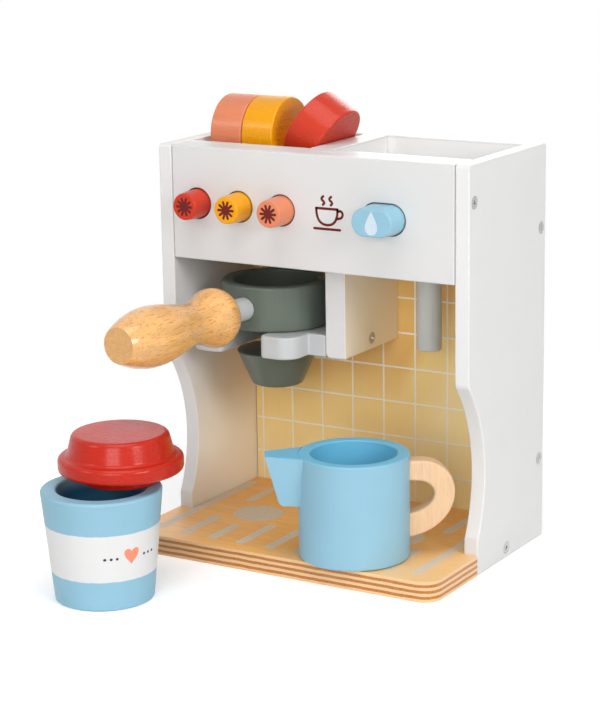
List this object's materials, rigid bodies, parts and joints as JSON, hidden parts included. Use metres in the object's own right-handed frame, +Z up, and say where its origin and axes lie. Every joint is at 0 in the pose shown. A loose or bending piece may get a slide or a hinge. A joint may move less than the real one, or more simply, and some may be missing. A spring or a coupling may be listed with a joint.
{
  "type": "toy coffee maker",
  "caption": "Wooden toy coffee maker with push buttons, a sliding portafilter, a pod tray, a steam wand, coffee pods, a milk jug and a cup with a lift-off lid.",
  "frame": {"origin": "on the floor, under the middle of the machine's footprint (half its width, half its base board's length)", "axes": "+Z up, -Y towards the front where the buttons are, +X to the right as seen from the front"},
  "size_m": [0.206, 0.2516, 0.2686],
  "materials": {
    "white_paint": "satin white paint",
    "birch_ply": "clear satin lacquer on plywood",
    "yellow_print": "satin print of ochre tiles",
    "grey_paint": "satin light grey paint",
    "slate_paint": "satin dark grey-green paint",
    "red_paint": "satin red paint",
    "mustard_paint": "satin mustard paint",
    "peach_paint": "satin peach paint",
    "blue_paint": "satin light blue paint",
    "beech": "oiled beech, turned or sawn",
    "zinc_steel": "zinc-plated steel"
  },
  "bodies": {
    "machine": {"base_board": "birch_ply", "left_side_panel": "white_paint", "right_side_panel": "white_paint", "front_panel": "white_paint", "button_backing_board": "white_paint", "back_panel": "yellow_print", "head_floor": "white_paint", "pod_tray_floor": "white_paint", "hopper_partition": "white_paint", "group_divider": "white_paint", "portafilter_fork": "grey_paint", "steam_wand": "grey_paint", "left_front_screw": "zinc_steel", "left_upper_back_screw": "zinc_steel", "left_lower_back_screw": "zinc_steel", "left_base_screw": "zinc_steel", "right_front_screw": "zinc_steel", "right_upper_back_screw": "zinc_steel", "right_lower_back_screw": "zinc_steel", "right_base_screw": "zinc_steel", "left_fork_screw": "zinc_steel", "divider_fork_screw": "zinc_steel", "red_button_spring": "zinc_steel", "mustard_button_spring": "zinc_steel", "peach_button_spring": "zinc_steel", "water_button_spring": "zinc_steel"},
    "red_button": {"red_button": "red_paint"},
    "mustard_button": {"mustard_button": "mustard_paint"},
    "peach_button": {"peach_button": "peach_paint"},
    "water_button": {"water_button": "blue_paint"},
    "portafilter": {"portafilter_ring": "slate_paint", "portafilter_cone": "slate_paint", "portafilter_dowel": "grey_paint", "portafilter_handle": "beech"},
    "peach_pod": {"peach_pod": "peach_paint"},
    "mustard_pod": {"mustard_pod": "mustard_paint"},
    "red_pod": {"red_pod": "red_paint"},
    "jug": {"jug_body": "blue_paint", "jug_spout": "blue_paint", "jug_handle": "beech"},
    "cup": {"cup_body": "blue_paint"},
    "lid": {"cup_lid": "red_paint"}
  },
  "joints": [
    {"name": "red_button_push", "type": "slide", "parent": "machine", "child": "red_button", "axis": [0, 1, 0], "range_m": [0, 0.008], "stiffness_N_per_m": 200, "springref_m": -0.004, "deforming": ["red_button_spring"]},
    {"name": "mustard_button_push", "type": "slide", "parent": "machine", "child": "mustard_button", "axis": [0, 1, 0], "range_m": [0, 0.008], "stiffness_N_per_m": 200, "springref_m": -0.004, "deforming": ["mustard_button_spring"]},
    {"name": "peach_button_push", "type": "slide", "parent": "machine", "child": "peach_button", "axis": [0, 1, 0], "range_m": [0, 0.008], "stiffness_N_per_m": 200, "springref_m": -0.004, "deforming": ["peach_button_spring"]},
    {"name": "water_button_push", "type": "slide", "parent": "machine", "child": "water_button", "axis": [0, 1, 0], "range_m": [0, 0.008], "stiffness_N_per_m": 200, "springref_m": -0.004, "deforming": ["water_button_spring"]},
    {"name": "portafilter_slide", "type": "slide", "parent": "machine", "child": "portafilter", "axis": [0, -1, 0], "range_m": [0, 0.08]},
    {"name": "peach_pod_lift", "type": "slide", "parent": "machine", "child": "peach_pod", "axis": [0, 0, 1], "range_m": [0, 0.05]},
    {"name": "mustard_pod_lift", "type": "slide", "parent": "machine", "child": "mustard_pod", "axis": [0, 0, 1], "range_m": [0, 0.05]},
    {"name": "red_pod_lift", "type": "slide", "parent": "machine", "child": "red_pod", "axis": [0, 0, 1], "range_m": [0, 0.05]},
    {"name": "jug_lift", "type": "slide", "parent": "machine", "child": "jug", "axis": [0, 0, 1], "range_m": [0, 0.06]},
    {"name": "cup_lift", "type": "slide", "parent": "machine", "child": "cup", "axis": [0, 0, 1], "range_m": [0, 0.015]},
    {"name": "lid_lift", "type": "slide", "parent": "cup", "child": "lid", "axis": [0, 0, 1], "range_m": [0, 0.012]}
  ]
}
